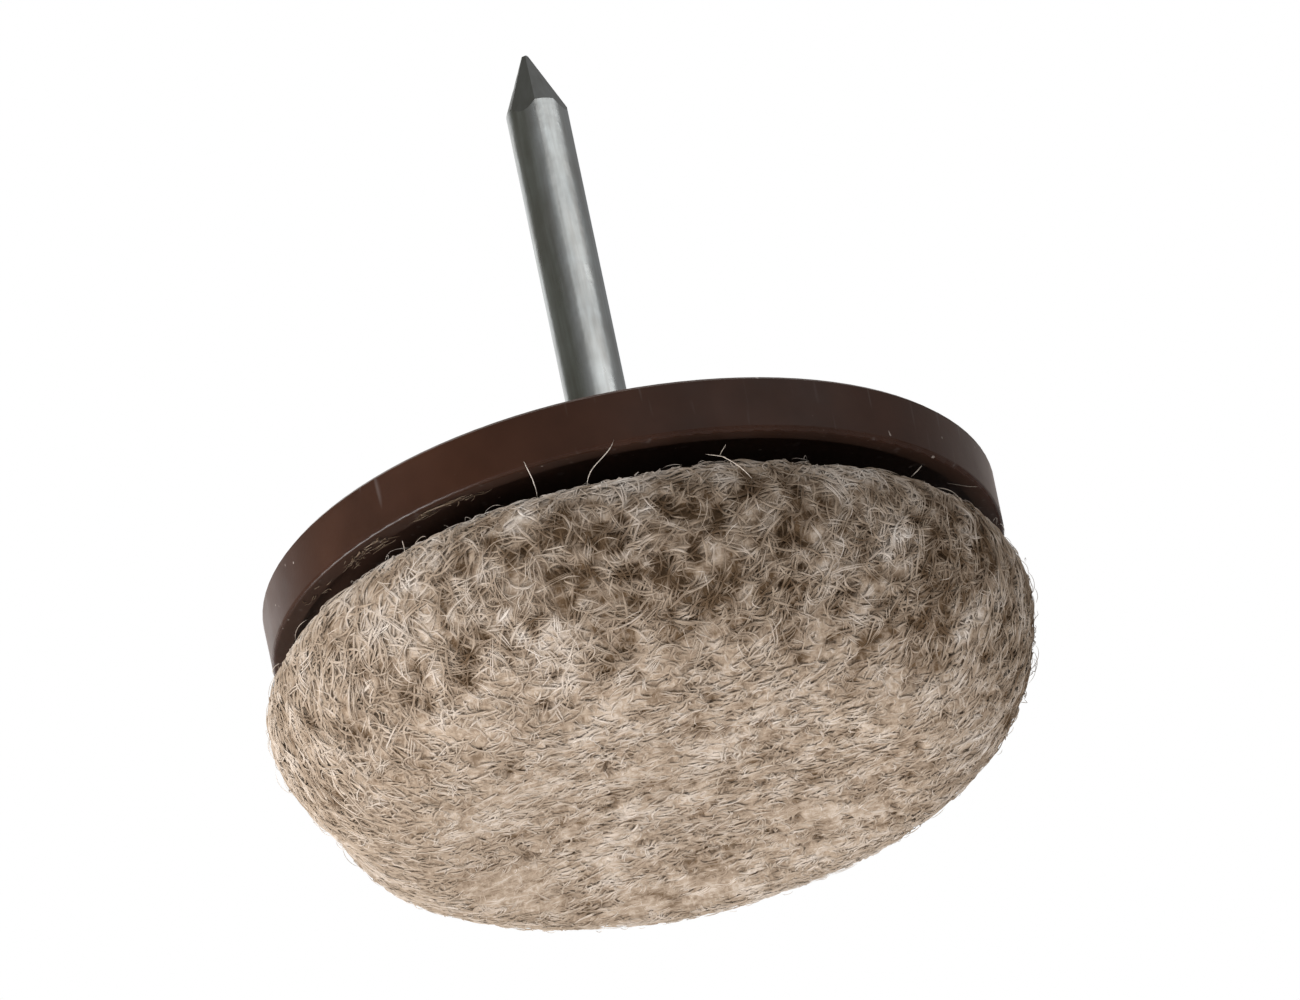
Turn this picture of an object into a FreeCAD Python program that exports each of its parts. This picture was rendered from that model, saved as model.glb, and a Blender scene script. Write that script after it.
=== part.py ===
import FreeCAD, Part
import math
import os

# A nail-on furniture glide: a shallow brown cup moulded round the head of a
# nail, with a thick wool felt pad glued into it.  It stands on the felt face,
# whose centre is the origin; +Z runs up the nail, towards the leg.

# Driving sizes, in millimetres and degrees.
cup_diameter = 25.5          # across the back face of the cup
cup_height = 2.00            # back face to lip
cup_draft = 0.03             # radius lost from the back face to the lip
lip_width = 0.65             # thickness of the cup's wall at the lip
recess_depth = 0.60          # lip to recess floor
lip_round = 0.15             # round on the outer edge of the lip
back_bevel = 0.12            # bevel on the edge of the back face

nail_diameter = 2.16         # wire of the nail
nail_reach = 19.62           # back face of the cup to the tip
head_diameter = 6.40
head_thickness = 0.85
neck_diameter = 3.40         # taper under the head, which ends at the back face
point_sides = 4              # facets of the diamond point
point_angle = 42.0           # between opposite facets
point_edge = 2.25            # length of the rounded edges between the facets
point_turn = 25.0            # first facet, turned from the front towards the left
tip_flat = 0.20              # blunt end left on the point

felt_diameter = 26.34        # across the bulge of the pad
felt_stand = 7.90            # floor face to the lip of the cup
felt_lower_round = 5.50      # round from the floor face up to the bulge
felt_upper_round = 1.73      # round from the bulge in towards the cup
felt_seat_diameter = 15.60   # flat part that is glued into the cup

# Heights and radii that follow from the sizes above.
lip_z = felt_stand
recess_z = lip_z + recess_depth
back_z = lip_z + cup_height
head_z = recess_z + head_thickness
tip_z = back_z + nail_reach
cup_radius = cup_diameter / 2.0
lip_radius = cup_radius - cup_draft
recess_radius = lip_radius - lip_width
nail_radius = nail_diameter / 2.0
tip_radius = 0.6 * tip_flat

axis_base = FreeCAD.Vector(0, 0, 0)
axis_up = FreeCAD.Vector(0, 0, 1)


def profile_point(radius, height):
    """A point of a turned profile, in the XZ plane."""
    return FreeCAD.Vector(radius, 0, height)


def turned(edges):
    """The solid swept by a closed profile round the Z axis."""
    face = Part.Face(Part.Wire(edges))
    return face.revolve(axis_base, axis_up, 360)


def ring_edge(solid, radius, height):
    """The round edge of a turned solid that has this radius and height."""
    near = 1e-6
    for edge in solid.Edges:
        if not isinstance(edge.Curve, Part.Circle):
            continue
        if abs(edge.Curve.Radius - radius) < near and abs(edge.Curve.Center.z - height) < near:
            return edge
    raise ValueError("no round edge of radius %g at height %g" % (radius, height))


def facet_cutter(turn):
    """A block whose inner face lies on one facet of the nail's point."""
    half_angle = point_angle / 2.0
    side = 4.0 * nail_diameter
    reach = nail_diameter / math.tan(math.radians(half_angle))
    block = Part.makeBox(side, side, 2.0 * reach, FreeCAD.Vector(0, -side / 2.0, -reach))
    block.rotate(axis_base, FreeCAD.Vector(0, 1, 0), -half_angle)
    block.translate(FreeCAD.Vector(tip_flat / 2.0, 0, tip_z))
    block.rotate(axis_base, axis_up, turn)
    return block


def make_nail():
    """Wire shank with a blunt-edged diamond point, and a flat tapered head under the felt."""
    corners = [
        profile_point(0, recess_z),
        profile_point(head_diameter / 2.0, recess_z),
        profile_point(head_diameter / 2.0, head_z),
        profile_point(neck_diameter / 2.0, head_z),
        profile_point(nail_radius, back_z),
        profile_point(nail_radius, tip_z - point_edge),
        profile_point(tip_radius, tip_z),
        profile_point(0, tip_z),
        profile_point(0, recess_z),
    ]
    nail = turned(Part.makePolygon(corners).Edges)
    for side in range(point_sides):
        nail = nail.cut(facet_cutter(-90.0 - point_turn + 360.0 / point_sides * side))
    return nail


def make_cup(nail):
    """Shallow drafted cup with a thin lip, moulded round the nail's head."""
    corners = [
        profile_point(0, back_z),
        profile_point(cup_radius, back_z),
        profile_point(lip_radius, lip_z),
        profile_point(recess_radius, lip_z),
        profile_point(recess_radius, recess_z),
        profile_point(0, recess_z),
        profile_point(0, back_z),
    ]
    cup = turned(Part.makePolygon(corners).Edges)
    cup = cup.makeChamfer(back_bevel, [ring_edge(cup, cup_radius, back_z)])
    cup = cup.makeFillet(lip_round, [ring_edge(cup, lip_radius, lip_z)])
    return cup.cut(nail)


def profile_arc(centre, radius, start, end):
    """An arc of a turned profile, between two angles measured up from outwards."""
    points = []
    for angle in (start, (start + end) / 2.0, end):
        points.append(centre + profile_point(radius * math.cos(angle), radius * math.sin(angle)))
    return Part.Arc(*points).toShape()


def make_felt():
    """Thick pad: flat where it stands and where it is glued, bulging between."""
    bulge_radius = felt_diameter / 2.0
    bulge_z = felt_lower_round
    face_radius = bulge_radius - felt_lower_round
    lower_centre = profile_point(face_radius, bulge_z)
    upper_centre = profile_point(bulge_radius - felt_upper_round, bulge_z)
    seat = profile_point(felt_seat_diameter / 2.0, recess_z)
    # The flank runs straight from the glued face until it touches the upper round.
    to_seat = seat - upper_centre
    flank = math.atan2(to_seat.z, to_seat.x) - math.acos(felt_upper_round / to_seat.Length)

    lower_edge = profile_arc(lower_centre, felt_lower_round, -math.pi / 2.0, 0)
    upper_edge = profile_arc(upper_centre, felt_upper_round, 0, flank)
    floor_face = Part.makeLine(profile_point(0, 0), profile_point(face_radius, 0))
    flank_line = Part.makeLine(upper_edge.Vertexes[-1].Point, seat)
    glued_face = Part.makeLine(seat, profile_point(0, recess_z))
    core = Part.makeLine(profile_point(0, recess_z), profile_point(0, 0))
    return turned([floor_face, lower_edge, upper_edge, flank_line, glued_face, core])


nail = make_nail()
cup = make_cup(nail)
felt_pad = make_felt()

os.makedirs("parts", exist_ok=True)
cup.exportStep("parts/cup.step")
nail.exportStep("parts/nail.step")
felt_pad.exportStep("parts/felt_pad.step")
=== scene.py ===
import itertools
import math

import bpy
import numpy as np
from mathutils import Matrix, Vector


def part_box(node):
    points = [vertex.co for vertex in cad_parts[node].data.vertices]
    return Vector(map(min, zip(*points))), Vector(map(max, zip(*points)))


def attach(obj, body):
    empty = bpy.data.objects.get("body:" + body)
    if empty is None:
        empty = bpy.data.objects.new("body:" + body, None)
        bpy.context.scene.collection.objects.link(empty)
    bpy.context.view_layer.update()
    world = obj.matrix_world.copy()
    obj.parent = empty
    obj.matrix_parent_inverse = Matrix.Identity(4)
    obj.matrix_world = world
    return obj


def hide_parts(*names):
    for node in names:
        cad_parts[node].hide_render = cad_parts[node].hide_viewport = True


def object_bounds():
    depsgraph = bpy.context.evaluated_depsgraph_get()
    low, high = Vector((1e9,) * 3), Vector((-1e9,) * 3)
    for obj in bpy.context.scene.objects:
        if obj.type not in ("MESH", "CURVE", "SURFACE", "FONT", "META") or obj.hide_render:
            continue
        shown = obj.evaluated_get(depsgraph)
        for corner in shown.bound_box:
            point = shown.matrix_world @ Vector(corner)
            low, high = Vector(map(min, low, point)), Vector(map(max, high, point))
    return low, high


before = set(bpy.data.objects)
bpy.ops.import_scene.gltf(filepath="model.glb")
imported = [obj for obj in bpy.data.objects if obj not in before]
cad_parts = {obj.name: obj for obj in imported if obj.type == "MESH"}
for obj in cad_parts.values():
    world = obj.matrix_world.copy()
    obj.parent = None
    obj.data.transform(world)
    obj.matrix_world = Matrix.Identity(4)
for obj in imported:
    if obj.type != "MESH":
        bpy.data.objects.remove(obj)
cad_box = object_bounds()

MM = 0.001
TINY = 1e-9                          # keeps divisions by a length away from zero

# Camera: it looks up at the glide from below, with the nail leaning to the left.
VIEW_ELEVATION = math.radians(25.26)
VIEW_ROLL = math.radians(11.85)
VIEW_DISTANCE = 381.0 * MM
VIEW_NEAR = 10.0 * MM
VIEW_LENS = 308.3                    # millimetres
VIEW_SENSOR = 36.0                   # millimetres
VIEW_TARGET = (0.0, 0.0, 9.86 * MM)
VIEW_AIM = (0.71 * MM, 1.87 * MM)    # right of and above the target, in the picture

# The felt pad's profile, as the solid has it.
felt_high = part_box("felt_pad")[1]
FELT_RADIUS = felt_high[0]
FELT_SEAT_Z = felt_high[2]
FELT_LOWER_ROUND = 5.50 * MM
FELT_UPPER_ROUND = 1.73 * MM
FELT_SEAT_RADIUS = 7.80 * MM
PROFILE_POINTS = 700
ARC_POINTS = 400

# How far the wool stays inside the solid's skin.
WORN_PLACE = np.array((-12.2, 3.0, 2.6)) * MM
WORN_DEPTH = 0.55 * MM
WORN_REACH = 2.5 * MM
OFF_CENTRE = np.array((0.08, -0.11)) * MM    # inset on the sides towards +X and +Y
UNEVEN_DEPTH = 0.08 * MM
UNEVEN_CELL = 3.6 * MM
WOOL_OUTSET = 0.05 * MM

# Pits open in the wool where a noise passes a threshold. Noises are (strength, cell) pairs.
SMALL_PITS = ((1.0, 0.55 * MM), (0.5, 0.27 * MM))
LARGE_PITS = ((0.80, 1.15 * MM),)
PIT_THRESHOLD = 0.52
PIT_SIDE_DROP = 0.16                 # taken off the threshold on the pad's side
PIT_LEFT_RISE = 0.30                 # added to it at the pad's left
PIT_STEEPNESS = 1.7
PIT_DEPTH = 0.25 * MM

# The wool's tone runs from brown at 0 to cream at 1.
TONE_PLAIN = 0.255
FLOOR_PAINTED_LIGHT = 0.09                    # painted light added on the floor face, which leaves the side darker
TONE_FLOOR_LEFT_LOSS = 0.5           # share of that painted light lost at the left
CUP_PAINTED_LIGHT = 0.28                      # painted light added near the cup, where its lip shades the wool
PIT_PAINTED_SHADE = 0.27                      # painted shade taken off in the pits
TONE_CLOUDS = ((0.15, 2.2 * MM), (0.26, 0.9 * MM), (0.23, 0.45 * MM), (0.24, 0.24 * MM))
FLOOR_CALM = 0.55                    # share of the clouds lost on the floor face
LEFT_CALM = 0.35                     # share of the clouds lost at the left

# The pad's body lies a little under the solid's skin, and fibres fill the rest.
BODY_STEPS = 400                     # round the axis
BODY_RINGS = 190
BODY_SINK = 0.15 * MM
BODY_BUMPS = ((0.04 * MM, 0.8 * MM), (0.03 * MM, 0.3 * MM))
BODY_FLOOR_GAP = 0.02 * MM

# Fibres are thin flattened tubes that narrow to a point at both ends.
FIBRE_SIDES = 3
FIBRE_FLATNESS = 0.7                 # height over width
SKIN_SHARE = 0.70                    # how much a fibre is shaded as the matted skin is
TAPER_PLACES = (0.0, 0.2, 0.8, 1.0)
TAPER_WIDTHS = (0.65, 1.0, 1.0, 0.55)
MAP_ROWS = 8
MAP_WIDTH = 0.012                    # of a fibre, in its bake map

# Fibres lie in locks, which turn from place to place.
FLOOR_GRAIN = 0.6                    # radians, from +X towards the front
SIDE_LEAN = math.radians(-18.0)
LOCK_TURNS = ((math.radians(55.0), 1.8 * MM), (math.radians(40.0), 0.7 * MM))
CURL_WANDER = 0.6                    # how much a curl varies along a fibre, as a share of it
LOCK_WIDTH = 0.055 * MM
LOCK_HEIGHT = 0.35 * LOCK_WIDTH
FLOOR_SHORTENING = 0.45              # share of a fibre's length lost on the floor face
FLOOR_PRESSING = 0.6                 # share of its loft lost there
PIT_FOLLOWING = 0.55                 # share of a pit's depth that fibres follow
UNDER_CUP_Z = 7.3 * MM
UNDER_CUP_RADIUS = 11.4 * MM
UNDER_CUP_SHARE = 0.2                # of the fibres that lie in the open

# Long stray fibres, drawn as (degrees from the front, radius, height), in millimetres.
LOOSE_FIBRES = (
    ((-12.0, 12.45, 6.80), (-11.6, 12.75, 7.2), (-11.8, 12.8, 7.5), (-12.4, 12.7, 7.8),
     (-12.6, 12.79, 8.15)),
    ((-4.2, 12.55, 6.65), (-3.6, 12.9, 7.1), (-2.4, 12.7, 7.4), (0.4, 12.7, 7.6), (1.3, 12.79, 8.08)),
    ((19.8, 13.28, 5.75), (18.6, 13.25, 6.3), (17.4, 12.95, 6.7), (16.3, 12.72, 7.0)),
    ((17.2, 12.9, 6.78), (16.4, 12.8, 6.95), (15.4, 12.8, 6.95), (14.4, 12.65, 7.12)),
    ((16.5, 12.76, 6.95), (16.6, 12.8, 7.1), (17.4, 12.8, 7.2), (17.8, 12.7, 7.40)),
    ((67.0, 11.9, 7.86), (69.0, 12.2, 7.83), (71.0, 12.3, 7.84), (72.5, 12.64, 7.87)),
    ((-35.0, 12.70, 6.65), (-34.6, 12.8, 6.9), (-34.8, 12.8, 7.1), (-35.4, 12.6, 7.25)),
    ((51.0, 12.55, 6.80), (51.8, 12.8, 7.0), (53.0, 12.7, 7.2), (54.2, 12.6, 7.4)),
)
LOOSE_POINTS = 12

# Clumps of lint: first and last degrees from the front, inner and outer radius, and wisps.
LINT_CLUMPS = (
    (-32.0, -21.5, 12.15, 12.5, 30),
    (-49.5, -39.4, 11.9, 12.5, 40),
    (-62.0, -55.0, 12.1, 12.6, 8),
)
LINT_RADII = (11.6, 12.5)            # millimetres, that a wisp wanders between
LINT_HEIGHTS = (7.80, 7.89)          # millimetres, just under the lip
LINT_SWING = 1.5                     # degrees
LINT_DRIFT = 0.10                    # millimetres
LINT_BENDS = 3
LINT_POINTS = 8

WHITE = (1.0, 1.0, 1.0, 1.0)


def lattice_noise(points, cell, seed):
    """Smooth noise from -1 to 1 whose bumps are about one cell across."""
    size = 48
    table = np.random.default_rng(seed).uniform(-1.0, 1.0, (size, size, size))
    grid = np.asarray(points) / cell
    low = np.floor(grid).astype(int)
    ease = (grid - low) ** 2 * (3.0 - 2.0 * (grid - low))
    total = np.zeros(len(grid))
    for corner in itertools.product((0, 1), repeat=3):
        weight = np.where(corner, ease, 1.0 - ease).prod(axis=1)
        i, j, k = ((low + corner) % size).T
        total += weight * table[i, j, k]
    return total


def clouds(points, noises, seed):
    """The sum of several noises, each given as its strength and its cell."""
    total = np.zeros(len(points))
    for number, (strength, cell) in enumerate(noises):
        total += strength * lattice_noise(points, cell, seed + number)
    return total


def progress(values, start, end):
    """How far values have come from start to end, from 0 to 1."""
    return np.clip((values - start) / (end - start), 0.0, 1.0)


def unit(vectors):
    """The same directions, one long."""
    return vectors / np.maximum(np.linalg.norm(vectors, axis=-1, keepdims=True), TINY)


def arc_points(centre_r, centre_z, radius, start, end):
    """Points of a round stretch of the felt's profile."""
    angles = np.linspace(start, end, ARC_POINTS)
    return np.column_stack((centre_r + radius * np.cos(angles), centre_z + radius * np.sin(angles)))


def felt_profile():
    """The pad's profile from the floor face's centre to the glued face.

    Returns evenly spaced places with their tangents and outward normals.
    """
    face_radius = FELT_RADIUS - FELT_LOWER_ROUND
    bulge_z = FELT_LOWER_ROUND
    upper_r = FELT_RADIUS - FELT_UPPER_ROUND
    across, rise = FELT_SEAT_RADIUS - upper_r, FELT_SEAT_Z - bulge_z
    flank = math.atan2(rise, across) - math.acos(FELT_UPPER_ROUND / math.hypot(across, rise))
    line = np.vstack((
        [(0.0, 0.0)],
        arc_points(face_radius, bulge_z, FELT_LOWER_ROUND, -math.pi / 2.0, 0.0),
        arc_points(upper_r, bulge_z, FELT_UPPER_ROUND, 0.0, flank)[1:],
        [(FELT_SEAT_RADIUS, FELT_SEAT_Z)],
    ))
    steps = np.hypot(*np.diff(line, axis=0).T)
    along = np.concatenate(([0.0], np.cumsum(steps)))
    even = np.linspace(0.0, along[-1], PROFILE_POINTS)
    places = np.column_stack((np.interp(even, along, line[:, 0]), np.interp(even, along, line[:, 1])))
    tangents = unit(np.gradient(places, axis=0))
    normals = np.column_stack((tangents[:, 1], -tangents[:, 0]))
    return places, tangents, normals


PROFILE, PROFILE_TANGENT, PROFILE_NORMAL = felt_profile()


def on_felt(points):
    """The places on the pad's skin nearest to points, with its normals and uphill tangents there."""
    radius = np.maximum(np.hypot(points[:, 0], points[:, 1]), TINY)
    out = points[:, :2] / radius[:, None]
    flat = np.column_stack((radius, points[:, 2]))
    nearest = np.empty(len(points), int)
    block = 2000
    for first in range(0, len(points), block):
        gaps = flat[first:first + block, None, :] - PROFILE[None, :, :]
        nearest[first:first + block] = (gaps ** 2).sum(axis=2).argmin(axis=1)
    tangent, normal = PROFILE_TANGENT[nearest], PROFILE_NORMAL[nearest]
    slide = ((flat - PROFILE[nearest]) * tangent).sum(axis=1, keepdims=True)
    place = PROFILE[nearest] + slide * tangent

    def turned(pair):
        return np.column_stack((out * pair[:, :1], pair[:, 1:]))

    return turned(place), turned(normal), turned(tangent)


def felt_hollow(places):
    """How far the wool stays inside the solid's skin: uneven all over, and worn at the lower left."""
    gap = np.linalg.norm(places - WORN_PLACE, axis=1)
    worn = WORN_DEPTH * np.exp(-(gap / WORN_REACH) ** 2)
    aside = places[:, :2] @ OFF_CENTRE / FELT_RADIUS
    uneven = UNEVEN_DEPTH * lattice_noise(places, UNEVEN_CELL, seed=41)
    return worn + aside + uneven - WOOL_OUTSET


def floor_side(normals):
    """From 0 on the pad's side to 1 on its floor face."""
    return progress(-normals[:, 2], start=0.56, end=0.92)


def left_side(places):
    """From 0 to 1 at the pad's left, where the wool is matted more tightly."""
    return progress(-places[:, 0] / FELT_RADIUS, start=0.25, end=0.65)


def felt_pits(places, normals):
    """From 0 to 1, how open the wool is: small pits, which are larger and deeper on the side."""
    side = 1.0 - floor_side(normals)
    opened = clouds(places, SMALL_PITS, seed=11) + side * clouds(places, LARGE_PITS, seed=13)
    threshold = PIT_THRESHOLD - PIT_SIDE_DROP * side + PIT_LEFT_RISE * left_side(places)
    return np.clip(PIT_STEEPNESS * (opened - threshold), 0.0, 1.0)


def felt_tone_with_painted_light(places, normals):
    """The wool's tone: cloudy, with painted shade on the side and in the pits and painted light by the
    cup.
    """
    floor, left = floor_side(normals), left_side(places)
    # Painted light: the wool is made paler near the cup, where its lip shades it.
    cup_painted_light_mask = progress(places[:, 2], start=5.8 * MM, end=7.2 * MM)
    # Painted light: the floor face is made paler than the side, less so at the left.
    floor_painted_light = FLOOR_PAINTED_LIGHT * floor * (1.0 - TONE_FLOOR_LEFT_LOSS * left)
    plain = TONE_PLAIN + floor_painted_light + CUP_PAINTED_LIGHT * cup_painted_light_mask
    cloudy = (1.0 - FLOOR_CALM * floor) * (1.0 - LEFT_CALM * left)
    cloud = cloudy * clouds(places, TONE_CLOUDS, seed=31)
    # Painted shade: the pits are made darker.
    return plain + cloud - PIT_PAINTED_SHADE * felt_pits(places, normals)


def mesh_piece(name, vertices, faces, corner_uvs, normals, material):
    """A smooth mesh object with its shading normals, if any are given.

    Its bake map has one place for each corner of each face.
    """
    mesh = bpy.data.meshes.new(name)
    mesh.from_pydata(vertices.tolist(), [], faces)
    layer = mesh.uv_layers.new(name="OFBake")
    layer.data.foreach_set("uv", np.asarray(corner_uvs, np.float32).ravel())
    mesh.polygons.foreach_set("use_smooth", [True] * len(mesh.polygons))
    mesh.materials.append(material)
    mesh.update()
    if normals is not None:
        mesh.normals_split_custom_set_from_vertices(normals.tolist())
    piece = bpy.data.objects.new(name, mesh)
    bpy.context.scene.collection.objects.link(piece)
    return piece


def node(tree, kind, inputs=(), **settings):
    """A shader node with its settings, and input sockets set or linked by name or number."""
    made = tree.nodes.new("ShaderNode" + kind)
    for key, value in settings.items():
        setattr(made, key, value)
    for key, value in dict(inputs).items():
        if isinstance(value, bpy.types.NodeSocket):
            tree.links.new(value, made.inputs[key])
        else:
            made.inputs[key].default_value = value
    return made


def ramp(tree, factor, stops, smooth=False):
    """A colour ramp from (place, colour) stops; returns its colour socket."""
    made = node(tree, "ValToRGB", {"Fac": factor})
    elements = made.color_ramp.elements
    made.color_ramp.interpolation = "EASE" if smooth else "LINEAR"
    while len(elements) < len(stops):
        elements.new(0.5)
    for element, (place, colour) in zip(elements, stops):
        element.position = place
        element.color = (*colour, 1.0)
    return made.outputs["Color"]


def grey(value):
    """A grey colour."""
    return (value, value, value)


def mask(tree, factor, start, end, smooth=False):
    """Black up to the start and white from the end; returns its colour socket."""
    return ramp(tree, factor, ((start, grey(0.0)), (end, grey(1.0))), smooth)


def mix(tree, factor, first, second, blend="MIX"):
    """Two colours mixed by a factor; returns the colour socket."""
    inputs = {"Factor": factor, "A": first, "B": second}
    return node(tree, "Mix", inputs, data_type="RGBA", blend_type=blend).outputs["Result"]


def combine(tree, operation, first, second):
    """Two numbers combined by an operation; returns the number's socket."""
    return node(tree, "Math", {0: first, 1: second}, operation=operation).outputs["Value"]


def facing_up(tree, kind):
    """How far the surface faces up, from -1 to 1, by its shading or true normal."""
    normal = node(tree, "NewGeometry").outputs[kind]
    return node(tree, "SeparateXYZ", {"Vector": normal}).outputs["Z"]


def bumps(tree, strength, height, **more):
    """A relief made from a height; returns the normal's socket."""
    return node(tree, "Bump", {"Strength": strength, "Height": height, **more}).outputs["Normal"]


def new_material(name, **constants):
    """A material with one Principled shader, whose constant sockets are set by name."""
    material = bpy.data.materials.new(name)
    material.use_nodes = True
    shader = material.node_tree.nodes["Principled BSDF"]
    for key, value in constants.items():
        shader.inputs[key.replace("_", " ")].default_value = value
    return material, material.node_tree, shader


def feed(tree, shader, sources):
    """Links sockets to the shader's inputs by name."""
    for key, socket in sources.items():
        tree.links.new(socket, shader.inputs[key])


def object_noise(tree, scale, detail=3.0, stretch=(1.0, 1.0, 1.0)):
    """Noise in the object's own coordinates; scale is bumps per metre."""
    place = node(tree, "TexCoord").outputs["Object"]
    stretched = node(tree, "Mapping", {"Vector": place, "Scale": stretch}).outputs["Vector"]
    inputs = {"Vector": stretched, "Scale": scale, "Detail": detail, "Roughness": 0.55}
    return node(tree, "TexNoise", inputs).outputs["Fac"]


def plastic_colour(tree):
    """Brown with faint mottling, upright scuffs and pale dust specks."""
    dark, light = (0.031, 0.0114, 0.0058), (0.046, 0.0176, 0.0094)
    scuff_colour = (0.075, 0.050, 0.043, 1.0)
    dust_colour = (0.30, 0.25, 0.22, 1.0)
    brown = ramp(tree, object_noise(tree, 420.0), ((0.3, dark), (0.7, light)))
    upright = object_noise(tree, 2600.0, detail=1.0, stretch=(1.0, 1.0, 0.10))
    scuffed = mix(tree, mask(tree, upright, 0.66, 0.74), brown, scuff_colour)
    specks = object_noise(tree, 3800.0, detail=0.0)
    return mix(tree, mask(tree, specks, 0.845, 0.86), scuffed, dust_colour)


def lip_round(tree):
    """White on the round of the cup's lip, which faces down and out, and black elsewhere."""
    turned_down = {"Value": facing_up(tree, "Normal"), "From Min": 0.0, "From Max": -1.0}
    downward = node(tree, "MapRange", turned_down).outputs["Result"]
    stops = ((0.32, grey(0.0)), (0.46, grey(1.0)), (0.80, grey(1.0)), (0.95, grey(0.0)))
    return ramp(tree, downward, stops)


def brown_plastic():
    """Satin moulded plastic with a fine grain and a polished lip."""
    material, tree, shader = new_material(
        "brown_plastic",
        IOR=1.32,
        Sheen_Weight=0.22,
        Sheen_Roughness=0.35,
        Sheen_Tint=(1.0, 0.86, 0.78, 1.0),
    )
    polished = (0.27, 0.27, 0.27, 1.0)
    satin = ramp(tree, object_noise(tree, 900.0), ((0.3, grey(0.36)), (0.7, grey(0.45))))
    lip = lip_round(tree)
    gloss = node(tree, "MapRange", {"Value": lip, "To Min": 0.5, "To Max": 1.0}).outputs["Result"]
    grain = object_noise(tree, 9000.0, detail=2.0)
    feed(tree, shader, {
        "Base Color": plastic_colour(tree),
        "Roughness": mix(tree, lip, satin, polished),
        "Specular IOR Level": gloss,
        "Normal": bumps(tree, 0.10, grain, Distance=0.02 * MM),
    })
    return material


def bright_steel():
    """Drawn wire: fine streaks along the nail, small dents, and darker, rougher facets on the point."""
    material, tree, shader = new_material("bright_steel", Metallic=1.0)
    dark, light = (0.55, 0.56, 0.55), (0.72, 0.76, 0.76)
    dull_colour = (0.42, 0.40, 0.36, 1.0)
    facet_colour = (0.32, 0.32, 0.305, 1.0)
    facet_roughness = (0.60, 0.60, 0.60, 1.0)
    streak = object_noise(tree, 5200.0, detail=2.0, stretch=(1.0, 1.0, 0.06))
    drawn = ramp(tree, streak, ((0.3, dark), (0.7, light)))
    dulled = ramp(tree, object_noise(tree, 700.0), ((0.35, grey(0.0)), (0.75, grey(0.45))))
    slopes = ((0.18, grey(0.0)), (0.26, grey(0.7)), (0.60, grey(0.7)), (0.80, grey(0.2)))
    facet = ramp(tree, facing_up(tree, "True Normal"), slopes)
    worn = object_noise(tree, 2400.0, stretch=(1.0, 1.0, 0.2))
    satin = ramp(tree, worn, ((0.3, grey(0.26)), (0.7, grey(0.40))))
    dented = bumps(tree, 1.0, object_noise(tree, 1700.0, detail=2.0), Distance=0.016 * MM)
    feed(tree, shader, {
        "Base Color": mix(tree, facet, mix(tree, dulled, drawn, dull_colour), facet_colour),
        "Roughness": mix(tree, facet, satin, facet_roughness),
        "Normal": bumps(tree, 0.12, streak, Distance=0.02 * MM, Normal=dented),
    })
    return material


def wool_colour(tree, tone):
    """The colour of wool of a tone from 0 to 1, from brown to cream."""
    return ramp(tree, tone, (
        (0.0, (0.13, 0.081, 0.046)),
        (0.35, (0.40, 0.308, 0.230)),
        (0.7, (0.66, 0.566, 0.484)),
        (1.0, (0.86, 0.785, 0.712)),
    ))


def felt_ground():
    """The matted skin of the pad: its tone, which carries painted light and shade, varies from place to
    place and in short fine streaks.
    """
    material, tree, shader = new_material("felt_ground", Roughness=0.95, Specular_IOR_Level=0.1)
    tone = node(tree, "Attribute", attribute_name="tone").outputs["Fac"]
    streaks = []
    for stretch in ((0.25, 0.7, 1.0), (1.0, 0.6, 0.25), (0.8, 0.25, 0.9)):
        streaks.append(object_noise(tree, 7000.0, detail=2.0, stretch=stretch))
    matted = combine(tree, "MAXIMUM", streaks[0], streaks[1])
    matted = combine(tree, "MAXIMUM", matted, streaks[2])
    spread = {"Value": matted, "From Min": 0.45, "From Max": 0.75, "To Min": -0.16, "To Max": 0.16}
    streaky = node(tree, "MapRange", spread).outputs["Result"]
    feed(tree, shader, {
        "Base Color": wool_colour(tree, combine(tree, "ADD", tone, streaky)),
        "Normal": bumps(tree, 0.7, matted, Distance=0.05 * MM),
    })
    return material


def wool_fibre():
    """The wool's tone, painted light and shade included, runs across the fibres' map; it is finely
    mottled.
    """
    material, tree, shader = new_material("wool_fibre", Roughness=0.8, Specular_IOR_Level=0.2)
    place = node(tree, "UVMap", uv_map="OFBake").outputs["UV"]
    tone = node(tree, "SeparateXYZ", {"Vector": place}).outputs["X"]
    mottle = object_noise(tree, 4500.0, detail=2.0)
    shade = ramp(tree, mottle, ((0.3, grey(0.88)), (0.62, grey(1.0))))
    colour = mix(tree, 1.0, wool_colour(tree, tone), shade, blend="MULTIPLY")
    feed(tree, shader, {"Base Color": colour})
    return material


def turned_rings(pairs, around):
    """Rings round the axis, one after another, each from a (radius, height) pair."""
    angle = np.linspace(0.0, 2.0 * math.pi, around, endpoint=False)
    out = np.column_stack((np.cos(angle), np.sin(angle)))
    return np.concatenate([np.column_stack((out * r, np.full(around, z))) for r, z in pairs])


def ring_faces(around, along):
    """Faces over such rings, closed at a lower and an upper pole, with their corners' bake map."""
    pole_low = along * around
    pole_high = pole_low + 1
    last = (along - 1) * around
    row = np.linspace(0.0, 1.0, along + 2)[1:-1]
    faces, corners = [], []
    for i in range(around):
        j = (i + 1) % around
        left, right = i / around, (i + 1) / around
        faces.append((pole_low, j, i))
        corners += [(left, 0.0), (right, row[0]), (left, row[0])]
        for ring in range(along - 1):
            low, high = ring * around, (ring + 1) * around
            faces.append((low + i, low + j, high + j, high + i))
            corners += [(left, row[ring]), (right, row[ring])]
            corners += [(right, row[ring + 1]), (left, row[ring + 1])]
        faces.append((last + i, last + j, pole_high))
        corners += [(left, row[-1]), (right, row[-1]), (left, 1.0)]
    return faces, corners


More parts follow.
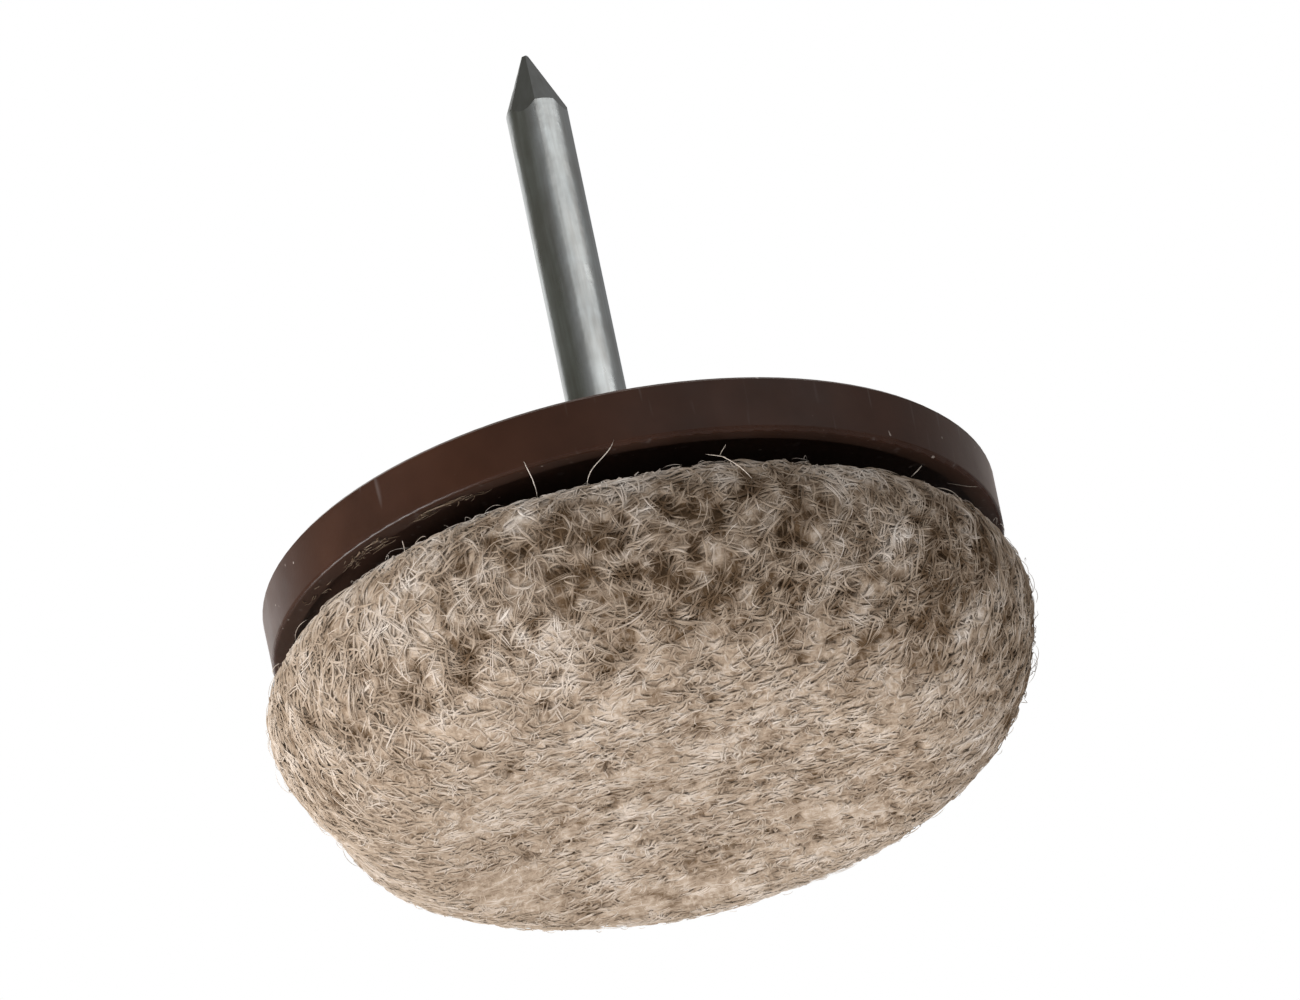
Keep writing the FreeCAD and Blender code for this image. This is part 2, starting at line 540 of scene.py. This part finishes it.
def felt_body(material):
    """The matted body of the pad, as rings from the floor face to the glued face."""
    pick = np.linspace(0, len(PROFILE) - 1, BODY_RINGS + 1).round().astype(int)[1:]
    places = turned_rings(PROFILE[pick], BODY_STEPS)
    normals = turned_rings(PROFILE_NORMAL[pick], BODY_STEPS)
    sink = BODY_SINK + felt_hollow(places) + PIT_DEPTH * felt_pits(places, normals)
    sink += clouds(places, BODY_BUMPS, seed=3)
    skin = places - normals * sink[:, None]
    skin[:, 2] = np.clip(skin[:, 2], BODY_FLOOR_GAP, FELT_SEAT_Z)
    vertices = np.vstack((skin, [(0.0, 0.0, BODY_SINK), (0.0, 0.0, FELT_SEAT_Z)]))
    faces, corners = ring_faces(BODY_STEPS, BODY_RINGS)
    piece = mesh_piece("felt_body", vertices, faces, corners, None, material)
    pole_tones = (0.5, 0.5)
    # These tones hold painted light on the floor face and by the cup, and painted shade in the pits.
    tones = np.concatenate((felt_tone_with_painted_light(places, normals), pole_tones))
    attribute = piece.data.attributes.new("tone", "FLOAT", "POINT")
    attribute.data.foreach_set("value", tones.astype(np.float32))
    return piece


def tube_faces(rings):
    """The triangles of one fibre: a point, walls from ring to ring, and a point."""
    last = 1 + (rings - 1) * FIBRE_SIDES
    faces = []
    for c in range(FIBRE_SIDES):
        d = (c + 1) % FIBRE_SIDES
        faces.append((0, 1 + d, 1 + c))
        faces.append((last + c, last + d, last + FIBRE_SIDES))
        for ring in range(rings - 1):
            low, high = 1 + ring * FIBRE_SIDES, 1 + (ring + 1) * FIBRE_SIDES
            faces.append((low + c, low + d, high + d))
            faces.append((low + c, high + d, high + c))
    return np.array(faces)


def tube_map(tones, rng):
    """The fibres' bake map: the tone of each place runs across it, and each fibre lies in one row."""
    count, length = tones.shape
    rings = length - 2
    row = rng.integers(0, MAP_ROWS, count)
    across = np.concatenate(([0.5], np.tile(np.arange(FIBRE_SIDES) / FIBRE_SIDES, rings), [0.5]))
    up = np.concatenate(([0.0], np.repeat(np.linspace(0.05, 0.95, rings), FIBRE_SIDES), [1.0]))
    wall_tones = np.repeat(tones[:, 1:-1], FIBRE_SIDES, axis=1)
    tone = np.concatenate((tones[:, :1], wall_tones, tones[:, -1:]), axis=1)
    margin = 0.1
    u = np.clip(tone, 0.0, 1.0 - MAP_WIDTH) + MAP_WIDTH * across
    v = (row[:, None] + margin + (1.0 - 2.0 * margin) * up) / MAP_ROWS
    return np.stack((u, v), axis=2).reshape(-1, 2)


def fibre_tubes(paths, skin, widths, tones, rng):
    """Thin tubes along paths, which are an array of fibres by points.

    Each point has the skin's normal and a tone. Returns vertices, faces, bake map and normals.
    """
    count, length = paths.shape[:2]
    rings = length - 2
    tangent = unit(np.gradient(paths, axis=1))[:, 1:-1]
    side = unit(np.cross(tangent, skin[:, 1:-1]))
    lift = np.cross(side, tangent)
    taper = np.interp(np.linspace(0.0, 1.0, rings), TAPER_PLACES, TAPER_WIDTHS)
    reach = widths[:, None] / 2.0 * taper
    turns = np.arange(FIBRE_SIDES) * 2.0 * math.pi / FIBRE_SIDES
    outward = [FIBRE_FLATNESS * math.cos(t) * lift + math.sin(t) * side for t in turns]
    outward = np.stack(outward, axis=2)
    wall = (paths[:, 1:-1, None] + reach[..., None, None] * outward).reshape(count, -1, 3)
    vertices = np.concatenate((paths[:, :1], wall, paths[:, -1:]), axis=1)
    shading = unit(SKIN_SHARE * skin[:, 1:-1, None] + (1.0 - SKIN_SHARE) * outward)
    normals = np.concatenate((skin[:, :1], shading.reshape(count, -1, 3), skin[:, -1:]), axis=1)
    first = np.arange(count)[:, None, None] * vertices.shape[1]
    faces = (tube_faces(rings)[None] + first).reshape(-1, 3)
    corner_uvs = tube_map(tones, rng)[faces.ravel()]
    return vertices.reshape(-1, 3), faces.tolist(), corner_uvs, normals.reshape(-1, 3)


def felt_starts(count, rng, thin):
    """Places spread evenly over the pad's skin, with fewer in its pits and under the cup."""
    under_cup = (PROFILE[:, 1] > UNDER_CUP_Z) & (PROFILE[:, 0] < UNDER_CUP_RADIUS)
    weight = PROFILE[:, 0] * np.where(under_cup, UNDER_CUP_SHARE, 1.0)
    weight = weight / weight.sum()
    found = np.empty((0, 3))
    while len(found) < count:
        index = rng.choice(len(PROFILE), count, p=weight)
        angle = rng.uniform(0.0, 2.0 * math.pi, count)
        radius, height = PROFILE[index].T
        places = np.column_stack((radius * np.cos(angle), radius * np.sin(angle), height))
        pits = felt_pits(places, on_felt(places)[1])
        keep = rng.uniform(0.0, 1.0, count) > thin * pits
        found = np.vstack((found, places[keep]))
    return found[:count]


def lock_headings(normal, uphill, rng):
    """Which way the locks run: aslant of X on the floor face, and up or down on the side."""
    count = len(normal)
    across = np.cross(normal, uphill)
    level = progress(-normal[:, 2], start=0.35, end=0.85)[:, None]
    upright = uphill * math.cos(SIDE_LEAN) + across * math.sin(SIDE_LEAN)
    upright *= rng.choice((-1.0, 1.0), count)[:, None]
    aslant = np.array((math.cos(FLOOR_GRAIN), -math.sin(FLOOR_GRAIN), 0.0))
    aslant = aslant * rng.choice((-1.0, 1.0), count)[:, None]
    return unit(level * aslant + (1.0 - level) * upright)


def walk_fibres(starts, lengths, points, base, loft, curl, spread, rng):
    """Paths over the pad's skin: a fibre follows its lock, curls at random and lofts in its middle."""
    count = len(starts)
    here, normal, uphill = on_felt(starts)
    heading = lock_headings(normal, uphill, rng)
    turn = clouds(starts, LOCK_TURNS, seed=22) + rng.normal(0.0, spread, count)
    step = (lengths / (points - 1))[:, None]
    bend = rng.normal(0.0, curl, count)
    wander = CURL_WANDER * curl
    paths = np.empty((count, points, 3))
    for k in range(points):
        place, normal, _ = on_felt(here)
        arch = math.sin(math.pi * k / (points - 1))
        rise = base + loft * (1.0 - FLOOR_PRESSING * floor_side(normal)) * arch
        rise = rise - felt_hollow(place) - PIT_FOLLOWING * PIT_DEPTH * felt_pits(place, normal)
        paths[:, k] = place + normal * rise[:, None]
        heading = unit(heading - (heading * normal).sum(axis=1, keepdims=True) * normal)
        heading = heading * np.cos(turn)[:, None] + np.cross(normal, heading) * np.sin(turn)[:, None]
        turn = bend + rng.normal(0.0, wander, count)
        here = place + heading * step
    return paths


def part_locks(paths, members, rng):
    """Each path becomes a lock of fibres, which lie side by side, differ in length and part at one end."""
    count, points = paths.shape[:2]
    tangent = unit(np.gradient(paths, axis=1))
    lift = on_felt(paths.reshape(-1, 3))[1].reshape(paths.shape)
    side = unit(np.cross(tangent, lift))
    along = np.linspace(0.0, 1.0, points)[None, :, None]
    lock = np.arange(count)[:, None]
    made = []
    for _ in range(members):
        aside = rng.normal(0.0, LOCK_WIDTH, (count, 1, 1))
        parting = rng.normal(0.0, LOCK_WIDTH, (count, 1, 1))
        above = rng.normal(0.0, LOCK_HEIGHT, (count, 1, 1))
        fibre = paths + side * (aside + along * parting) + lift * above
        first = rng.uniform(0.0, 0.3, (count, 1))
        last = rng.uniform(0.7, 1.0, (count, 1))
        where = (first + (last - first) * along[:, :, 0]) * (points - 1)
        below = np.minimum(where.astype(int), points - 2)
        share = (where - below)[..., None]
        made.append(fibre[lock, below] * (1.0 - share) + fibre[lock, below + 1] * share)
    return np.concatenate(made)


def wool_layer(name, pieces, locks, members, points, length, width, base, loft, curl, spread, tone,
               thin, seed, material):
    """Several pieces of wool, each of so many locks, whose sizes are drawn from the given ranges."""
    made = []
    for number in range(pieces):
        rng = np.random.default_rng(seed + number)
        starts = felt_starts(locks, rng, thin)
        shortened = 1.0 - FLOOR_SHORTENING * floor_side(on_felt(starts)[1])
        lengths = rng.uniform(*length, locks) * shortened
        bases = rng.uniform(*base, locks)
        lofts = rng.uniform(*loft, locks)
        paths = walk_fibres(starts, lengths, points, bases, lofts, curl, spread, rng)
        paler = np.tile(rng.normal(*tone, locks), members)
        paths = part_locks(paths, members, rng)
        place, skin, _ = on_felt(paths.reshape(-1, 3))
        # The fibres take the wool's tone with its painted light and painted shade.
        tones = felt_tone_with_painted_light(place, skin).reshape(paths.shape[:2]) + paler[:, None]
        widths = rng.uniform(*width, locks * members)
        paths[..., 2] = np.clip(paths[..., 2], widths[:, None] / 2.0, None)
        tubes = fibre_tubes(paths, skin.reshape(paths.shape), widths, tones, rng)
        vertices, faces, corner_uvs, normals = tubes
        vertices[:, 2] = np.clip(vertices[:, 2], 0.0, None)
        piece_name = "%s_%d" % (name, number + 1)
        made.append(mesh_piece(piece_name, vertices, faces, corner_uvs, normals, material))
    return made


def curve(places, points):
    """A smooth path drawn by its control places, given as (azimuth, radius, height) from the front."""
    azimuth, radius, height = np.array(places).T
    turn = np.radians(azimuth)
    control = np.column_stack((radius * np.sin(turn), -radius * np.cos(turn), height)) * MM
    t = np.linspace(0.0, 1.0, points)[:, None]
    last = len(control) - 1
    path = np.zeros((points, 3))
    for k in range(last + 1):
        path += math.comb(last, k) * t ** k * (1.0 - t) ** (last - k) * control[k]
    return path


def stray_piece(name, paths, widths, tones, rng, material):
    """Fibres that stand off the pad, each of one tone and shaded by its own shape."""
    skin = on_felt(paths.reshape(-1, 3))[1].reshape(paths.shape)
    along = np.repeat(tones[:, None], paths.shape[1], axis=1)
    vertices, faces, corner_uvs, _ = fibre_tubes(paths, skin, widths, along, rng)
    return mesh_piece(name, vertices, faces, corner_uvs, None, material)


def loose_fibres(material):
    """The long pale fibres that stray from the pad, some as far as the cup's lip."""
    rng = np.random.default_rng(400)
    count = len(LOOSE_FIBRES)
    paths = np.stack([curve(places, LOOSE_POINTS) for places in LOOSE_FIBRES])
    widths = rng.uniform(0.034 * MM, 0.048 * MM, count)
    tones = rng.uniform(0.66, 0.86, count)
    return stray_piece("felt_loose_fibres", paths, widths, tones, rng, material)


def lint_wisp(azimuth, radius, rng):
    """One crooked wisp that starts at this azimuth and radius."""
    swing = rng.normal(0.0, LINT_SWING, LINT_BENDS)
    height = rng.uniform(*LINT_HEIGHTS, LINT_BENDS + 1)
    drift = rng.normal(0.0, LINT_DRIFT, LINT_BENDS)
    places = [(azimuth, radius, height[0])]
    for k in range(LINT_BENDS):
        azimuth += swing[k]
        radius = np.clip(radius + drift[k], *LINT_RADII)
        places.append((azimuth, radius, height[k + 1]))
    return curve(places, LINT_POINTS)


def lip_lint(material):
    """Wisps of dark wool that cling under the front left of the cup's lip."""
    rng = np.random.default_rng(500)
    paths = []
    for first, last, inner, outer, wisps in LINT_CLUMPS:
        for _ in range(wisps):
            azimuth = rng.uniform(first, last)
            radius = rng.uniform(inner, outer)
            paths.append(lint_wisp(azimuth, radius, rng))
    count = len(paths)
    widths = rng.uniform(0.025 * MM, 0.060 * MM, count)
    tones = rng.uniform(0.02, 0.32, count)
    return stray_piece("felt_lint", np.stack(paths), widths, tones, rng, material)


def make_wool(material):
    """Half-sunk fibres that cover the pad, finer locks over them, and loose fuzz."""
    layers = wool_layer(
        "felt_wool", pieces=4, locks=4800, members=1, points=7,
        length=(0.7 * MM, 2.3 * MM), width=(0.045 * MM, 0.100 * MM),
        base=(-0.17 * MM, -0.07 * MM), loft=(0.0, 0.08 * MM), curl=0.27, spread=0.6,
        tone=(0.07, 0.05), thin=0.4, seed=200, material=material)
    layers += wool_layer(
        "felt_locks", pieces=1, locks=1900, members=3, points=7,
        length=(1.0 * MM, 2.3 * MM), width=(0.028 * MM, 0.050 * MM),
        base=(-0.11 * MM, -0.05 * MM), loft=(0.02 * MM, 0.11 * MM), curl=0.22, spread=0.6,
        tone=(0.16, 0.07), thin=0.6, seed=250, material=material)
    layers += wool_layer(
        "felt_fuzz", pieces=1, locks=900, members=1, points=8,
        length=(0.6 * MM, 1.6 * MM), width=(0.022 * MM, 0.036 * MM),
        base=(-0.08 * MM, -0.02 * MM), loft=(0.06 * MM, 0.26 * MM), curl=0.20, spread=1.2,
        tone=(0.24, 0.08), thin=0.0, seed=300, material=material)
    return layers


def make_felt():
    """The pad: a matted body, its wool, and stray fibres and lint."""
    body = felt_body(felt_ground())
    wool = wool_fibre()
    layers = make_wool(wool)
    layers += [loose_fibres(wool), lip_lint(wool)]
    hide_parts("felt_pad")
    for piece in [body] + layers:
        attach(piece, "root")


def dress_cad():
    """Finishes on the two rigid nodes."""
    for name, material in (("cup", brown_plastic()), ("nail", bright_steel())):
        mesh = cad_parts[name].data
        mesh.materials.clear()
        mesh.materials.append(material)


def make_world():
    """A studio: a wide white backdrop behind the photographed view, and dim walls elsewhere."""
    world = bpy.data.worlds.new("studio")
    bpy.context.scene.world = world
    world.use_nodes = True
    tree = world.node_tree
    look = node(tree, "TexCoord").outputs["Generated"]

    def toward(middle):
        dot = node(tree, "VectorMath", {0: look, 1: middle}, operation="DOT_PRODUCT")
        return dot.outputs["Value"]

    upper_left = (-0.90, 0.0, 0.43)
    behind = (-0.33, 0.84, 0.43)
    dim = (0.095, 0.094, 0.080)
    walls = ramp(tree, toward(upper_left), ((0.35, grey(0.22)), (0.80, dim)), smooth=True)
    backdrop = mask(tree, toward(behind), 0.85, 0.91, smooth=True)
    feed(tree, tree.nodes["Background"], {"Color": mix(tree, backdrop, walls, WHITE)})


def soft_lamp(name, azimuth, elevation, distance, size, watts, mirrored=True):
    """An area lamp that faces the glide; azimuth 0 is the front and 90 the right."""
    light = bpy.data.lights.new(name, "AREA")
    light.shape = "RECTANGLE"
    light.size, light.size_y = size
    light.energy = watts
    lamp = bpy.data.objects.new(name, light)
    turn, tilt = math.radians(azimuth), math.radians(elevation)
    level = Vector((math.sin(turn), -math.cos(turn), 0.0)) * math.cos(tilt)
    toward = level + Vector((0.0, 0.0, math.sin(tilt)))
    middle = Vector((0.0, 0.0, (cad_box[0][2] + cad_box[1][2]) / 2.0))
    lamp.location = middle + toward * distance
    lamp.rotation_euler = toward.to_track_quat("Z", "Y").to_euler()
    lamp.visible_camera = False
    lamp.visible_glossy = mirrored
    bpy.context.scene.collection.objects.link(lamp)


def make_lamps():
    """Soft light from the left, the front and below, a strip at the front right, and one lamp above.

    Lamps that are not mirrored light the wool and the rim without a reflection in the nail.
    """
    soft_lamp("key_below_left", azimuth=-95.0, elevation=-55.0, distance=0.40,
              size=(0.30, 0.30), watts=0.10)
    soft_lamp("side_left", azimuth=-84.0, elevation=-35.0, distance=0.45,
              size=(0.42, 0.12), watts=1.3)
    soft_lamp("wall_left", azimuth=-80.0, elevation=12.0, distance=0.45,
              size=(0.34, 0.20), watts=1.85, mirrored=False)
    soft_lamp("fill_below", azimuth=40.0, elevation=-78.0, distance=0.45,
              size=(0.34, 0.34), watts=1.70, mirrored=False)
    soft_lamp("front", azimuth=-15.0, elevation=8.0, distance=0.45,
              size=(0.30, 0.20), watts=0.42, mirrored=False)
    soft_lamp("strip_front_right", azimuth=42.0, elevation=25.0, distance=0.45,
              size=(0.62, 0.14), watts=0.30)
    soft_lamp("top", azimuth=180.0, elevation=70.0, distance=0.55,
              size=(0.40, 0.40), watts=2.2, mirrored=False)


def make_floor():
    """A pale floor under the felt. It shows from above only, so the view from below looks through it."""
    half = 3.0
    mesh = bpy.data.meshes.new("floor")
    corners = [(-half, -half, 0.0), (half, -half, 0.0), (half, half, 0.0), (-half, half, 0.0)]
    mesh.from_pydata(corners, [], [(0, 1, 2, 3)])
    pale = (0.86, 0.86, 0.86, 1.0)
    material, tree, shader = new_material(
        "floor_paper", Base_Color=pale, Roughness=0.9, Specular_IOR_Level=0.1)
    under = node(tree, "NewGeometry").outputs["Backfacing"]
    clear = node(tree, "BsdfTransparent").outputs["BSDF"]
    paper = shader.outputs["BSDF"]
    shown = node(tree, "MixShader", {0: under, 1: paper, 2: clear}).outputs["Shader"]
    feed(tree, tree.nodes["Material Output"], {"Surface": shown})
    mesh.materials.append(material)
    floor = bpy.data.objects.new("floor", mesh)
    floor.visible_shadow = False
    floor.visible_diffuse = False
    floor.visible_glossy = False
    bpy.context.scene.collection.objects.link(floor)


def make_camera():
    """The photograph's view, aimed so that the glide sits in the frame as it does there."""
    ahead = Vector((0.0, math.cos(VIEW_ELEVATION), math.sin(VIEW_ELEVATION)))
    level_up = Vector((0.0, -math.sin(VIEW_ELEVATION), math.cos(VIEW_ELEVATION)))
    level_right = Vector((1.0, 0.0, 0.0))
    right = level_right * math.cos(VIEW_ROLL) - level_up * math.sin(VIEW_ROLL)
    up = level_right * math.sin(VIEW_ROLL) + level_up * math.cos(VIEW_ROLL)
    target = Vector(VIEW_TARGET)
    place = target - ahead * VIEW_DISTANCE
    aim = (target + right * VIEW_AIM[0] + up * VIEW_AIM[1] - place).normalized()
    across = aim.cross(up).normalized()
    upward = across.cross(aim)
    camera = bpy.data.objects.new("camera", bpy.data.cameras.new("camera"))
    camera.data.lens = VIEW_LENS
    camera.data.sensor_width = VIEW_SENSOR
    camera.data.clip_start = VIEW_NEAR
    turn = Matrix((across, upward, -aim)).transposed().to_4x4()
    camera.matrix_world = Matrix.Translation(place) @ turn
    bpy.context.scene.collection.objects.link(camera)
    bpy.context.scene.camera = camera


dress_cad()
make_felt()
make_world()
make_lamps()
make_floor()
make_camera()
bpy.context.scene.view_settings.view_transform = "Standard"
